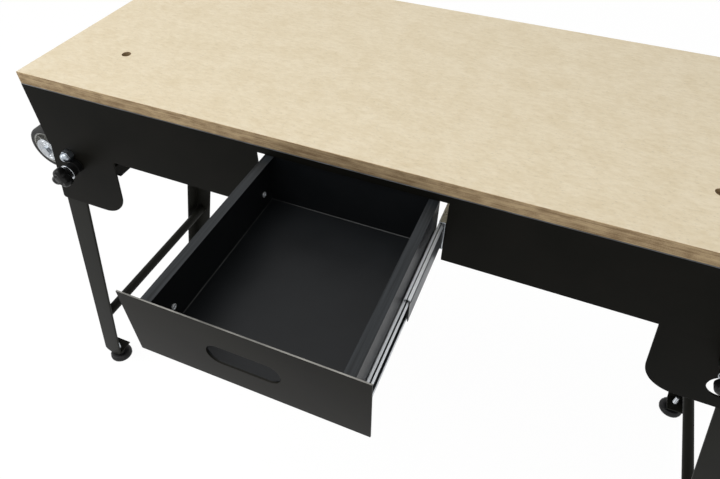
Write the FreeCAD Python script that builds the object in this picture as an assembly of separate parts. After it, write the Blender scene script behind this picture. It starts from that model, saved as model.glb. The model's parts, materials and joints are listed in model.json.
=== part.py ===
import FreeCAD
import Part
import math
import os

# Folding workbench: a thick board on a sheet steel frame, with one drawer, four folding legs and two wheels.
# Lengths are in millimetres and angles in degrees.
# Shapes are drawn from the worktop's front left top corner, with x to the right, y to the back and z up.
# save() moves every shape to the part's own origin, the middle of its footprint on the floor.

Vector = FreeCAD.Vector
AXIS_X = Vector(1, 0, 0)
AXIS_Y = Vector(0, 1, 0)
AXIS_Z = Vector(0, 0, 1)

half_share = 0.5
full_turn = 360.0
half_turn = 180.0
quarter_turn = 90.0
near = 0.01
hexagon_sides = 6

# Whole bench
bench_height = 810.0
top_length = 1020.0
top_depth = 430.0
top_thickness = 18.0
top_edge_round = 1.0
dog_hole_diameter = 13.4
dog_hole_x = 111.0
dog_hole_y = 100.5

# Sheet steel frame
frame_depth = 405.0
sheet = 2.0
bend_round = 1.5
apron_height = 106.0
top_flange = 23.0
bottom_return = 12.0
end_panel_inset = 8.0
end_panel_flange = 20.0
end_panel_gap = 2.0

# Drawer opening in the front apron
drawer_middle_offset = 3.0
opening_margin = 0.6
opening_drop = 11.0

# Ear plates that carry the legs
ear_thickness = 3.0
ear_top_width = 120.0
holed_ear_top_width = 127.0
ear_inner_slope = 8.5
ear_overlap = 64.0
ear_drop = 119.5
ear_inner_round = 49.0
ear_outer_round = 4.0
ear_hole_diameter = 40.0
ear_hole_x = 25.0
ear_hole_drop = 202.0

# Legs
leg_slope = 13.2
leg_gap = 0.3
leg_thickness = 3.0
leg_inner_offset = 1.4
leg_flange_width = 42.9
leg_web_depth = 39.7
leg_tip_rise = 12.0
leg_tip_round = 16.0
leg_bend_round = 2.5
web_start = 56.0
web_end_gap = 14.0
web_corner_round = 10.0
head_radius = 33.0
cross_tube_diameter = 20.0
cross_tube_wall = 1.5
cross_tube_rise = 182.0
cross_tube_offset = 24.4

# Pivot, clamping knob and stop bolt
pivot_x = 40.0
pivot_drop = 154.0
stop_x = 34.0
stop_drop = 134.0
thread_diameter = 10.0
running_gap = 0.08
slot_gap = 0.3
fold_travel = 103.0
slot_spare_angle = 1.5
hex_flats = 16.0
nut_height = 8.0
cap_hex_height = 10.0
cap_height = 17.5
cap_dome_radius = 7.6
cap_dome_round = 6.2
stop_head_height = 6.4
stop_head_gap = 0.3
knob_gap = 0.3
knob_spacer_length = 20.0
knob_collar_diameter = 25.0
knob_collar_thickness = 1.6
knob_neck_diameter = 20.0
knob_neck_length = 5.0
knob_standoff = 43.0
knob_mean_radius = 15.0
knob_lobe_height = 2.2
knob_lobes = 3.0
knob_points = 48
knob_face_round = 4.5
knob_back_round = 3.0
knob_bore_depth = 38.0
stud_back_reach = 18.5

# Fold rest bars between the ears
stretcher_inset = 18.0
stretcher_width = 15.0
stretcher_height = 21.0
stretcher_drop = 138.0
stretcher_wall = 1.5
stretcher_notch_drop = 153.0
stretcher_notch_depth = 4.0

# Feet
foot_offset = 17.2
foot_inset = 11.2
foot_plate_gap = 0.1
foot_plate_width = 41.0
foot_plate_depth = 33.7
foot_plate_rise = 28.0
foot_plate_thickness = 3.0
pad_diameter = 50.0
pad_rim_height = 7.0
pad_height = 12.0
pad_shoulder_diameter = 40.0
pad_hub_diameter = 20.0
pad_hub_height = 15.5
pad_bore_rise = 4.0
foot_stud_rise = 48.0
stud_end_chamfer = 1.0

# Wheels at the left end
wheel_x = -38.0
wheel_drop = 159.5
wheel_front_y = 22.0
wheel_width = 25.0
wheel_diameter = 75.0
tyre_round = 4.0
rim_diameter = 59.0
rim_wall = 2.0
rim_width = 23.0
wheel_disc_width = 5.0
wheel_hub_diameter = 18.0
wheel_hub_width = 27.4
wheel_ribs = 5
wheel_rib_width = 3.0
wheel_rib_depth = 15.0
wheel_side_gap = 1.5
bracket_thickness = 2.5
bracket_base_thickness = 3.0
bracket_base_width = 27.0
bracket_top_drop = 62.0
bracket_base_drop = 120.0
bracket_end_radius = 17.0
axle_diameter = 8.0
axle_washer_diameter = 40.0
axle_washer_thickness = 2.5
axle_hex_flats = 13.0
axle_head_height = 5.3
axle_nut_height = 6.5
axle_end = 1.5

# Drawer
drawer_front_width = 265.0
drawer_front_top_drop = 17.5
drawer_front_height = 96.0
drawer_front_depth = 2.0
drawer_front_face_y = -257.0
drawer_sheet = 1.2
drawer_edge_round = 0.6
hand_slot_width = 82.0
hand_slot_height = 29.0
hand_slot_drop = 66.0
box_width = 228.8
box_length = 258.6
box_top_drop = 30.0
box_floor_drop = 106.0
box_flange = 12.5
drawer_screw_head_diameter = 8.0
drawer_screw_head_height = 1.8
drawer_screw_diameter = 4.0
drawer_screw_length = 5.0
drawer_screw_shares = (0.16, 0.96)

# Drawer slides
slide_centre_drop = 83.0
slide_length = 250.0
slide_thickness = 11.0
slide_sheet = 1.2
slide_outer_height = 45.0
slide_outer_flange = 8.2
slide_outer_lip = 3.0
slide_middle_height = 33.0
slide_gap = 0.3
slide_middle_flange = 8.2
slide_inner_height = 25.0
slide_end_gap = 0.3
middle_inset = 6.0
middle_travel_share = 0.5
inner_length = 249.0
bumper_length = 4.2
bumper_height = 30.0
bumper_inner_height = 18.0
bumper_inner_thickness = 3.7
bumper_grip = 9.0
runner_flange = 20.0

# Screws that hold the board
board_screw_shares = (0.06, 0.32, 0.68, 0.94)
board_screw_inset = 14.0
board_screw_diameter = 4.5
board_screw_length = 14.0
board_screw_head_diameter = 9.0
board_screw_head_height = 2.4

# Heights below the worktop's face, and other values that follow from those above
board_z = -top_thickness
flange_z = board_z - sheet
apron_z = board_z - apron_height
ear_top_z = apron_z + ear_overlap
ear_bottom_z = apron_z - ear_drop
rear_y = frame_depth - sheet
ear_y = sheet
leg_y = ear_y + ear_thickness + leg_gap
leg_back_y = leg_y + leg_thickness
centre_x = top_length * half_share
slope_tan = math.tan(math.radians(leg_slope))
slope_cos = math.cos(math.radians(leg_slope))
pivot_z = -pivot_drop
floor_z = -bench_height
stop_z = -stop_drop
stud_radius = thread_diameter * half_share
stud_hole_radius = stud_radius + running_gap
stop_radius = math.hypot(stop_x - pivot_x, stop_z - pivot_z)
hex_corner_radius = hex_flats * half_share / math.cos(math.radians(half_turn / hexagon_sides))
knob_face_y = ear_y - knob_standoff
origin_x = centre_x
origin_y = (drawer_front_face_y + max(top_depth, frame_depth - knob_face_y)) * half_share
drawer_middle_x = centre_x - drawer_middle_offset
box_x0 = drawer_middle_x - box_width * half_share
box_x1 = drawer_middle_x + box_width * half_share
box_y0 = drawer_front_face_y + drawer_front_depth
slide_x0 = box_x0 - slide_thickness
slide_travel = -box_y0 - slide_end_gap


# Helpers
def block(x0, x1, y0, y1, z0, z1):
    return Part.makeBox(x1 - x0, y1 - y0, z1 - z0, Vector(x0, y0, z0))


def rod_x(y, z, radius, x0, x1):
    return Part.makeCylinder(radius, x1 - x0, Vector(x0, y, z), AXIS_X)


def rod_y(x, z, radius, y0, y1):
    return Part.makeCylinder(radius, y1 - y0, Vector(x, y0, z), AXIS_Y)


def rod_z(x, y, radius, z0, z1):
    return Part.makeCylinder(radius, z1 - z0, Vector(x, y, z0), AXIS_Z)


def plate(points, y0, y1):
    corners = [Vector(x, y0, z) for x, z in points]
    outline = Part.makePolygon(corners + [corners[0]])
    return Part.Face(outline).extrude(AXIS_Y * (y1 - y0))


def polar(x, z, radius, angle):
    turn = math.radians(angle)
    return (x + radius * math.cos(turn), z + radius * math.sin(turn))


def hexagon_points(x, z, flats):
    corner_radius = flats * half_share / math.cos(math.radians(half_turn / hexagon_sides))
    step = full_turn / hexagon_sides
    return [polar(x, z, corner_radius, step * index) for index in range(hexagon_sides)]


def hexagon_y(x, z, flats, y0, y1):
    return plate(hexagon_points(x, z, flats), y0, y1)


def hexagon_z(x, y, flats, z0, z1):
    corners = [Vector(px, py, z0) for px, py in hexagon_points(x, y, flats)]
    outline = Part.makePolygon(corners + [corners[0]])
    return Part.Face(outline).extrude(AXIS_Z * (z1 - z0))


def long_slot(x, z, width, height, y0, y1):
    radius = height * half_share
    reach = width * half_share - radius
    bar = block(x - reach, x + reach, y0, y1, z - radius, z + radius)
    ends = [rod_y(x - reach, z, radius, y0, y1), rod_y(x + reach, z, radius, y0, y1)]
    return bar.fuse(ends).removeSplitter()


def fuse(first, *others):
    return first.fuse(list(others)).removeSplitter()


def cut(first, *others):
    return first.cut(list(others)).removeSplitter()


def mirror_side(shape):
    return shape.mirror(Vector(centre_x, 0, 0), AXIS_X)


def mirror_drawer(shape):
    return shape.mirror(Vector(drawer_middle_x, 0, 0), AXIS_X)


def mirror_depth(shape):
    return shape.mirror(Vector(0, frame_depth * half_share, 0), AXIS_Y)


def group(shapes):
    return Part.makeCompound(shapes)


def along(edge, axis):
    line = edge.Vertexes[-1].Point - edge.Vertexes[0].Point
    return line.Length > near and abs(line.dot(axis)) > line.Length - near


def soften(shape, radius, axis, test):
    edges = [edge for edge in shape.Edges if along(edge, axis) and test(edge.CenterOfMass)]
    return shape.makeFillet(radius, edges)


def at(value, target):
    return abs(value - target) < near


def save(name, shape):
    placed = shape.copy()
    placed.translate(Vector(-origin_x, -origin_y, bench_height))
    placed.exportStep("parts/" + name + ".step")
    print(name, len(placed.Solids), "solids", placed.isValid())


os.makedirs("parts", exist_ok=True)

# Worktop board, with two bench dog holes near the front corners and pilot holes for its screws
board = block(0, top_length, 0, top_depth, board_z, 0)
board = board.makeFillet(top_edge_round, board.Edges)
dog_holes = [rod_z(x, dog_hole_y, dog_hole_diameter * half_share, board_z, 0)
             for x in (dog_hole_x, top_length - dog_hole_x)]
board_screw_ys = (board_screw_inset, frame_depth - board_screw_inset)
board_screw_places = [(top_length * share, y) for share in board_screw_shares for y in board_screw_ys]
screw_radius = board_screw_diameter * half_share
screw_top_z = flange_z + board_screw_length
pilots = [rod_z(x, y, screw_radius, board_z, screw_top_z) for x, y in board_screw_places]
save("worktop", cut(board, *dog_holes, *pilots))

screws = []
for x, y in board_screw_places:
    shank = rod_z(x, y, screw_radius, flange_z, screw_top_z)
    head = rod_z(x, y, board_screw_head_diameter * half_share, flange_z - board_screw_head_height, flange_z)
    screws.append(fuse(shank, head))
save("worktop_screws", group(screws))
screw_holes = [rod_z(x, y, screw_radius, flange_z, board_z) for x, y in board_screw_places]

# Front apron: face, top flange under the board, and a bottom return between the ears and the drawer opening
opening_x0 = slide_x0 - opening_margin
opening_x1 = box_x1 + slide_thickness + opening_margin
opening_z = board_z - opening_drop
face = block(0, top_length, 0, sheet, apron_z, board_z)
flange = block(0, top_length, 0, sheet + top_flange, flange_z, board_z)
low_return = block(ear_top_width + bottom_return, top_length - ear_top_width - bottom_return,
                   0, sheet + bottom_return, apron_z, apron_z + sheet)
apron = fuse(face, flange, low_return)
apron = soften(apron, bend_round, AXIS_X, lambda p: at(p.y, 0) and at(p.z, board_z))
opening = block(opening_x0, opening_x1, -sheet, sheet + bottom_return + sheet, apron_z - sheet, opening_z)
left_runner_room = block(opening_x0 - runner_flange - sheet, slide_x0 + sheet,
                         sheet, sheet + bottom_return + sheet, apron_z, apron_z + sheet)
right_runner_room = mirror_drawer(left_runner_room)
save("front_apron", cut(apron, opening, left_runner_room, right_runner_room, *screw_holes))

# Rear apron: the same section without the opening
rear_apron = mirror_depth(cut(apron, left_runner_room, right_runner_room))
save("rear_apron", cut(rear_apron, *screw_holes))

# End panels: folded sheet between the aprons, with a flange under the board and tabs on the aprons
panel_x0 = end_panel_inset
panel_x1 = end_panel_inset + sheet
flange_x1 = panel_x1 + end_panel_flange
tab_top_z = flange_z - end_panel_gap
tab_bottom_z = ear_top_z + end_panel_gap
panel_bottom_z = apron_z + end_panel_gap
upper = block(panel_x0, panel_x1, sheet, rear_y, tab_bottom_z, tab_top_z)
lower = block(panel_x0, panel_x1, ear_y + ear_thickness, frame_depth - ear_y - ear_thickness,
              panel_bottom_z, tab_top_z)
front_clear_y = sheet + top_flange + end_panel_gap
neck = block(panel_x0, panel_x1, front_clear_y, frame_depth - front_clear_y, tab_top_z, board_z)
top = block(panel_x0, flange_x1, front_clear_y, frame_depth - front_clear_y, flange_z, board_z)
foot_fold = block(panel_x0, flange_x1, front_clear_y + leg_web_depth,
                  frame_depth - front_clear_y - leg_web_depth,
                  panel_bottom_z, panel_bottom_z + sheet)
front_tab = block(panel_x0, flange_x1, sheet, sheet + sheet, tab_bottom_z, tab_top_z)
end_panel = fuse(upper, lower, neck, top, foot_fold, front_tab, mirror_depth(front_tab))
save("left_end_panel", end_panel)
save("right_end_panel", mirror_side(end_panel))

# Ear plates: trapezoid plates welded behind the aprons, with a pivot hole and a stop hole.
# The right pair is wider and has a large round hole too.
ear_inner_tan = math.tan(math.radians(ear_inner_slope))
pivot_hole = rod_y(pivot_x, pivot_z, stud_hole_radius, 0, leg_back_y)
stop_hole = rod_y(stop_x, stop_z, stud_radius, 0, leg_back_y)
round_hole = rod_y(ear_hole_x, -ear_hole_drop, ear_hole_diameter * half_share, 0, leg_back_y)


def ear_plate(top_width):
    points = [
        (0, ear_top_z),
        (top_width, ear_top_z),
        (top_width, apron_z),
        (top_width - ear_drop * ear_inner_tan, ear_bottom_z),
        (-ear_drop * slope_tan, ear_bottom_z),
        (0, apron_z),
    ]
    shape = plate(points, ear_y, ear_y + ear_thickness)
    shape = soften(shape, ear_inner_round, AXIS_Y, lambda p: at(p.z, ear_bottom_z) and p.x > 0)
    shape = soften(shape, ear_outer_round, AXIS_Y, lambda p: at(p.z, ear_bottom_z) and p.x < 0)
    return cut(shape, pivot_hole, stop_hole)


ear = ear_plate(ear_top_width)
holed_ear = cut(ear_plate(holed_ear_top_width), round_hole)
save("front_left_ear", ear)
save("front_right_ear", mirror_side(holed_ear))
save("rear_left_ear", mirror_depth(ear))
save("rear_right_ear", mirror_side(mirror_depth(holed_ear)))

# Fold rest bars: rectangular tube from ear to ear, notched at the ends where the folded legs pass
bar_y0 = ear_y + ear_thickness
stretcher_x = ear_top_width - stretcher_inset
bar_x1 = stretcher_x + stretcher_width
bar_z0 = -stretcher_drop - stretcher_height
bar_z1 = -stretcher_drop
bar = block(stretcher_x, bar_x1, bar_y0, frame_depth - bar_y0, bar_z0, bar_z1)
bar_hollow = block(stretcher_x + stretcher_wall, bar_x1 - stretcher_wall, bar_y0, frame_depth - bar_y0,
                   bar_z0 + stretcher_wall, bar_z1 - stretcher_wall)
notch = block(stretcher_x, bar_x1, bar_y0, bar_y0 + stretcher_notch_depth, bar_z0, -stretcher_notch_drop)
bar = cut(bar, bar_hollow, notch, mirror_depth(notch))
save("left_stretcher_bar", bar)
save("right_stretcher_bar", mirror_side(bar))

# Runner brackets: folded strips from apron to apron that carry the outer slide members
runner_x0 = slide_x0 - sheet
runner_top_z = -slide_centre_drop + slide_outer_height * half_share
runner_leaf = block(runner_x0, slide_x0, sheet, rear_y, apron_z, runner_top_z)
runner_foot = block(runner_x0 - runner_flange, slide_x0, sheet, rear_y, apron_z, apron_z + sheet)
runner_tab = block(runner_x0 - runner_flange, slide_x0, sheet, sheet + sheet, apron_z, runner_top_z)
runner = fuse(runner_leaf, runner_foot, runner_tab, mirror_depth(runner_tab))
save("left_runner_bracket", runner)
save("right_runner_bracket", mirror_drawer(runner))


# Slide members: three nested channels, drawn with the drawer fully open
def channel(x_web, x_open, height, y0, y1):
    z0 = -slide_centre_drop - height * half_share
    z1 = -slide_centre_drop + height * half_share
    x0 = min(x_web, x_open)
    x1 = max(x_web, x_open)
    whole = block(x0, x1, y0, y1, z0, z1)
    side = slide_sheet if x_open > x_web else -slide_sheet
    h0 = min(x_web + side, x_open)
    h1 = max(x_web + side, x_open)
    return cut(whole, block(h0, h1, y0, y1, z0 + slide_sheet, z1 - slide_sheet))


outer_x1 = slide_x0 + slide_outer_flange
outer = channel(slide_x0, outer_x1, slide_outer_height, 0, slide_length)
lip_z1 = -slide_centre_drop + slide_outer_height * half_share
lip_z0 = -slide_centre_drop - slide_outer_height * half_share
high_lip = block(outer_x1 - slide_sheet, outer_x1, 0, slide_length,
                 lip_z1 - slide_sheet - slide_outer_lip, lip_z1)
low_lip = block(outer_x1 - slide_sheet, outer_x1, 0, slide_length,
                lip_z0, lip_z0 + slide_sheet + slide_outer_lip)
outer = fuse(outer, high_lip, low_lip)
save("slide_outer_left", outer)
save("slide_outer_right", mirror_drawer(outer))

middle_x0 = slide_x0 + slide_sheet + slide_gap
middle_y0 = middle_inset - slide_travel * middle_travel_share
middle = channel(middle_x0, middle_x0 + slide_middle_flange, slide_middle_height,
                 middle_y0, middle_y0 + slide_length)
save("slide_middle_left", middle)
save("slide_middle_right", mirror_drawer(middle))

# End stops: small plastic blocks on the front ends of the middle members
bumper_z0 = -slide_centre_drop - bumper_height * half_share
bumper_face = block(middle_x0, middle_x0 + slide_sheet, middle_y0 - bumper_length, middle_y0,
                    bumper_z0, bumper_z0 + bumper_height)
grip_x0 = middle_x0 + slide_sheet
grip_z0 = -slide_centre_drop - bumper_inner_height * half_share
bumper_tongue = block(grip_x0, grip_x0 + bumper_inner_thickness, middle_y0 - bumper_length,
                      middle_y0 + bumper_grip, grip_z0, grip_z0 + bumper_inner_height)
bumper = fuse(bumper_face, bumper_tongue)
save("slide_stop_left", bumper)
save("slide_stop_right", mirror_drawer(bumper))

inner_y0 = -slide_travel
inner_x0 = middle_x0 + slide_sheet + slide_gap
inner = channel(box_x0, inner_x0, slide_inner_height, inner_y0, inner_y0 + inner_length)
drawer_screw_ys = [inner_y0 + inner_length * share for share in drawer_screw_shares]
drawer_screw_holes = [rod_x(y, -slide_centre_drop, drawer_screw_diameter * half_share,
                            box_x0 - slide_sheet, box_x0 + drawer_sheet) for y in drawer_screw_ys]
inner = cut(inner, *drawer_screw_holes)
save("slide_inner_left", inner)
save("slide_inner_right", mirror_drawer(inner))

# Drawer box: floor, four walls and two top flanges folded from thin sheet
box_y1 = box_y0 + box_length
box_z0 = -box_floor_drop
box_z1 = -box_top_drop
box_solid = block(box_x0, box_x1, box_y0, box_y1, box_z0, box_z1)
box_inside = block(box_x0 + drawer_sheet, box_x1 - drawer_sheet, box_y0 + drawer_sheet,
                   box_y1 - drawer_sheet, box_z0 + drawer_sheet, box_z1 - drawer_sheet)
box_mouth = block(box_x0 + box_flange, box_x1 - box_flange, box_y0 + drawer_sheet,
                  box_y1 - drawer_sheet, box_z1 - drawer_sheet, box_z1)
hand_slot = long_slot(drawer_middle_x, -hand_slot_drop, hand_slot_width, hand_slot_height,
                      drawer_front_face_y, box_y0 + drawer_sheet)
drawer_box = cut(box_solid, box_inside, box_mouth, hand_slot, *drawer_screw_holes,
                 *[mirror_drawer(hole) for hole in drawer_screw_holes])
save("drawer_box", drawer_box)

# Drawer front: flat plate with a hand slot, wider and taller than the opening
front_x0 = drawer_middle_x - drawer_front_width * half_share
front_x1 = drawer_middle_x + drawer_front_width * half_share
front_z1 = -drawer_front_top_drop
front_z0 = front_z1 - drawer_front_height
front_plate = block(front_x0, front_x1, drawer_front_face_y, box_y0, front_z0, front_z1)
front_edges = [edge for edge in front_plate.Edges if at(edge.CenterOfMass.y, drawer_front_face_y)]
front_plate = front_plate.makeFillet(drawer_edge_round, front_edges)
save("drawer_front", cut(front_plate, hand_slot))

# Drawer screws: round heads inside the box, through its sides into the inner slide members
side_screws = []
for y in drawer_screw_ys:
    head_x0 = box_x0 + drawer_sheet
    head_x1 = head_x0 + drawer_screw_head_height
    head = rod_x(y, -slide_centre_drop, drawer_screw_head_diameter * half_share, head_x0, head_x1)
    shank = rod_x(y, -slide_centre_drop, drawer_screw_diameter * half_share,
                  head_x0 - drawer_screw_length, head_x0)
    side_screws.append(fuse(head, shank))
save("drawer_screws", group(side_screws + [mirror_drawer(screw) for screw in side_screws]))


# Legs: bent angle with a round head, drawn upright on the pivot and then leaned out
def leaned(shape):
    turned = shape.copy()
    turned.rotate(Vector(pivot_x, 0, pivot_z), AXIS_Y, leg_slope)
    return turned


def arc_slot(radius, start, end, half_width, y0, y1):
    middle_angle = (start + end) * half_share

    def place(distance, angle):
        x, z = polar(pivot_x, pivot_z, distance, angle)
        return Vector(x, y0, z)

    def cap(angle, outward):
        x, z = polar(pivot_x, pivot_z, radius, angle)
        tip_x, tip_z = polar(x, z, half_width, outward)
        return Vector(tip_x, y0, tip_z)

    far = radius + half_width
    close = radius - half_width
    edges = [
        Part.Arc(place(far, start), place(far, middle_angle), place(far, end)).toShape(),
        Part.Arc(place(far, end), cap(end, end - quarter_turn), place(close, end)).toShape(),
        Part.Arc(place(close, end), place(close, middle_angle), place(close, start)).toShape(),
        Part.Arc(place(close, start), cap(start, start + quarter_turn), place(far, start)).toShape(),
    ]
    return Part.Face(Part.Wire(edges)).extrude(AXIS_Y * (y1 - y0))


leg_reach = (pivot_z - floor_z - leg_tip_rise) / slope_cos
outer_x = pivot_x - leg_inner_offset - leg_flange_width
inner_x = pivot_x - leg_inner_offset
tip_z = pivot_z - leg_reach
strip = block(outer_x, inner_x, leg_y, leg_back_y, tip_z, pivot_z + head_radius)
strip = soften(strip, leg_tip_round, AXIS_Y, lambda p: at(p.z, tip_z))
strip = soften(strip, leg_bend_round, AXIS_Z, lambda p: at(p.x, outer_x) and at(p.y, leg_y))
web = block(outer_x, outer_x + leg_thickness, leg_back_y, leg_y + leg_web_depth,
            tip_z + web_end_gap, pivot_z - web_start)
web = soften(web, web_corner_round, AXIS_X, lambda p: at(p.y, leg_y + leg_web_depth))
strip_top_z = apron_z
above = block(pivot_x - leg_reach, pivot_x + leg_reach, leg_y, leg_back_y, strip_top_z, pivot_z + leg_reach)
head = rod_y(pivot_x, pivot_z, head_radius, leg_y, leg_back_y)
stop_angle = math.degrees(math.atan2(stop_z - pivot_z, stop_x - pivot_x))
slot_start = stop_angle + slot_spare_angle
slot_end = stop_angle - fold_travel - slot_spare_angle
slot = arc_slot(stop_radius, slot_start, slot_end, stud_radius + slot_gap, leg_y, leg_back_y)
leg = cut(fuse(leaned(strip), leaned(web)), above)
leg = cut(fuse(leg, head), slot, pivot_hole)
save("left_leg_front", leg)
save("left_leg_rear", mirror_depth(leg))
save("right_leg_front", mirror_side(leg))
save("right_leg_rear", mirror_side(mirror_depth(leg)))

# Cross tubes: round tubes welded between the two legs of each frame
cross_tube_z = floor_z + cross_tube_rise
cross_tube_x = pivot_x - (pivot_z - cross_tube_z) * slope_tan - cross_tube_offset
tube_outer = rod_y(cross_tube_x, cross_tube_z, cross_tube_diameter * half_share,
                   leg_back_y, frame_depth - leg_back_y)
tube_bore = rod_y(cross_tube_x, cross_tube_z, cross_tube_diameter * half_share - cross_tube_wall,
                  leg_back_y, frame_depth - leg_back_y)
cross_tube = cut(tube_outer, tube_bore)
save("left_cross_tube", cross_tube)
save("right_cross_tube", mirror_side(cross_tube))

# Foot plates: flat plates welded into the corners of the legs
plate_z1 = floor_z + foot_plate_rise
plate_z0 = plate_z1 - foot_plate_thickness
leg_line_x = pivot_x - (pivot_z - plate_z1) * slope_tan
web_offset = (leg_inner_offset + leg_flange_width - leg_thickness) / slope_cos
foot_plate_x = leg_line_x - web_offset + foot_plate_gap
foot_x = leg_line_x - foot_offset
foot_y = leg_back_y + foot_inset
foot_plate = block(foot_plate_x, foot_plate_x + foot_plate_width, leg_back_y, leg_back_y + foot_plate_depth,
                   plate_z0, plate_z1)
foot_hole = rod_z(foot_x, foot_y, stud_hole_radius, plate_z0, plate_z1)
foot_plate = cut(foot_plate, foot_hole)
foot_plates = group([foot_plate, mirror_depth(foot_plate)])
save("left_foot_plates", foot_plates)
save("right_foot_plates", mirror_side(foot_plates))

# Weld nuts: one behind each leg head and one under each foot plate
pivot_nut = cut(hexagon_y(pivot_x, pivot_z, hex_flats, leg_back_y, leg_back_y + nut_height),
                rod_y(pivot_x, pivot_z, stud_hole_radius, leg_back_y, leg_back_y + nut_height))
foot_nut = cut(hexagon_z(foot_x, foot_y, hex_flats, plate_z0 - nut_height, plate_z0),
               rod_z(foot_x, foot_y, stud_hole_radius, plate_z0 - nut_height, plate_z0))
weld_nuts = group([pivot_nut, mirror_depth(pivot_nut), foot_nut, mirror_depth(foot_nut)])
save("left_weld_nuts", weld_nuts)
save("right_weld_nuts", mirror_side(weld_nuts))

# Stop bolts: hexagon bolts through the arc slots, held on the ears by cap nuts
bolt_tip_y = ear_y - cap_hex_height
bolt_seat_y = leg_back_y + stop_head_gap
bolt = rod_y(stop_x, stop_z, stud_radius, bolt_tip_y, bolt_seat_y)
bolt_head = hexagon_y(stop_x, stop_z, hex_flats, bolt_seat_y, bolt_seat_y + stop_head_height)
stop_bolt = fuse(bolt, bolt_head)
stop_pair = [stop_bolt, mirror_depth(stop_bolt)]
save("stop_bolts", group(stop_pair + [mirror_side(shape) for shape in stop_pair]))
cap_base = hexagon_y(stop_x, stop_z, hex_flats, bolt_tip_y, ear_y)
cap_tip_y = ear_y - cap_height
cap_dome = rod_y(stop_x, stop_z, cap_dome_radius, cap_tip_y, bolt_tip_y)
cap_rim = [edge for edge in cap_dome.Edges if at(edge.CenterOfMass.y, cap_tip_y)]
cap_dome = cap_dome.makeFillet(cap_dome_round, cap_rim)
cap_bore = rod_y(stop_x, stop_z, stud_radius, bolt_tip_y, ear_y)
cap_nut = cut(fuse(cap_base, cap_dome), cap_bore)
cap_pair = [cap_nut, mirror_depth(cap_nut)]
save("stop_cap_nuts", group(cap_pair + [mirror_side(shape) for shape in cap_pair]))

# Clamping knobs: a round spacer and a three-lobed head, on a stud with a collar that is also the leg pivot
knob_bore_y = ear_y - knob_bore_depth
spacer_y1 = ear_y - knob_gap
spacer_y0 = spacer_y1 - knob_spacer_length
collar_y0 = spacer_y0 - knob_collar_thickness
knob_back_y = collar_y0 - knob_neck_length
lobe_points = []
for index in range(knob_points):
    angle = full_turn * index / knob_points
    swell = knob_lobe_height * math.cos(math.radians(knob_lobes * (angle - quarter_turn)))
    x, z = polar(pivot_x, pivot_z, knob_mean_radius + swell, angle)
    lobe_points.append(Vector(x, knob_face_y, z))
lobe_curve = Part.BSplineCurve()
lobe_curve.interpolate(lobe_points, PeriodicFlag=True)
lobe_face = Part.Face(Part.Wire(lobe_curve.toShape()))
knob_head = lobe_face.extrude(AXIS_Y * (knob_back_y - knob_face_y))
face_rim = [edge for edge in knob_head.Edges if at(edge.CenterOfMass.y, knob_face_y)]
knob_head = knob_head.makeFillet(knob_face_round, face_rim)
back_rim = [edge for edge in knob_head.Edges if at(edge.CenterOfMass.y, knob_back_y)]
knob_head = knob_head.makeFillet(knob_back_round, back_rim)
neck = rod_y(pivot_x, pivot_z, knob_neck_diameter * half_share, knob_back_y, collar_y0)
spacer_radius = stop_radius - hex_corner_radius - knob_gap
spacer = rod_y(pivot_x, pivot_z, spacer_radius, spacer_y0, spacer_y1)
knob_bore = rod_y(pivot_x, pivot_z, stud_radius, knob_bore_y, ear_y)
knob = group([cut(fuse(knob_head, neck), knob_bore), cut(spacer, knob_bore)])
collar = rod_y(pivot_x, pivot_z, knob_collar_diameter * half_share, collar_y0, spacer_y0)
stud = rod_y(pivot_x, pivot_z, stud_radius, knob_bore_y, stud_back_reach)
stud_tip = [edge for edge in stud.Edges if at(edge.CenterOfMass.y, stud_back_reach)]
stud = fuse(stud.makeChamfer(stud_end_chamfer, stud_tip), collar)
corners = (("front_left", lambda shape: shape), ("rear_left", mirror_depth),
           ("front_right", mirror_side), ("rear_right", lambda shape: mirror_side(mirror_depth(shape))))
for corner, placed in corners:
    save("knob_" + corner, placed(knob))
    save("knob_stud_" + corner, placed(stud))

# Feet: round pads moulded on threaded studs
foot_stud_z1 = floor_z + foot_stud_rise
pad_outline = [
    (0, 0),
    (pad_diameter * half_share, 0),
    (pad_diameter * half_share, pad_rim_height),
    (pad_shoulder_diameter * half_share, pad_height),
    (pad_hub_diameter * half_share, pad_height),
    (pad_hub_diameter * half_share - stud_end_chamfer, pad_hub_height),
    (0, pad_hub_height),
]
pad_corners = [Vector(foot_x + r, foot_y, floor_z + z) for r, z in pad_outline]
pad_profile = Part.Face(Part.makePolygon(pad_corners + [pad_corners[0]]))
pad = pad_profile.revolve(Vector(foot_x, foot_y, floor_z), AXIS_Z, full_turn)
foot_bore = rod_z(foot_x, foot_y, stud_radius, floor_z + pad_bore_rise, floor_z + pad_hub_height)
pad = cut(pad, foot_bore)
foot_stud = rod_z(foot_x, foot_y, stud_radius, floor_z + pad_bore_rise, foot_stud_z1)
foot_tip = [edge for edge in foot_stud.Edges if at(edge.CenterOfMass.z, foot_stud_z1)]
foot_stud = foot_stud.makeChamfer(stud_end_chamfer, foot_tip)
for corner, placed in corners:
    save("foot_pad_" + corner, placed(pad))
    save("foot_stud_" + corner, placed(foot_stud))

# Wheels: rubber tyres on moulded cores with a rim, a disc, ribs and a hub
wheel_z = -wheel_drop
wheel_back_y = wheel_front_y + wheel_width
wheel_mid_y = wheel_front_y + wheel_width * half_share
rim_radius = rim_diameter * half_share
tyre = rod_y(wheel_x, wheel_z, wheel_diameter * half_share, wheel_front_y, wheel_back_y)
tyre = tyre.makeFillet(tyre_round, [edge for edge in tyre.Edges
                                    if at(edge.CenterOfMass.y, wheel_front_y)
                                    or at(edge.CenterOfMass.y, wheel_back_y)])
tyre = cut(tyre, rod_y(wheel_x, wheel_z, rim_radius, wheel_front_y, wheel_back_y))


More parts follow.
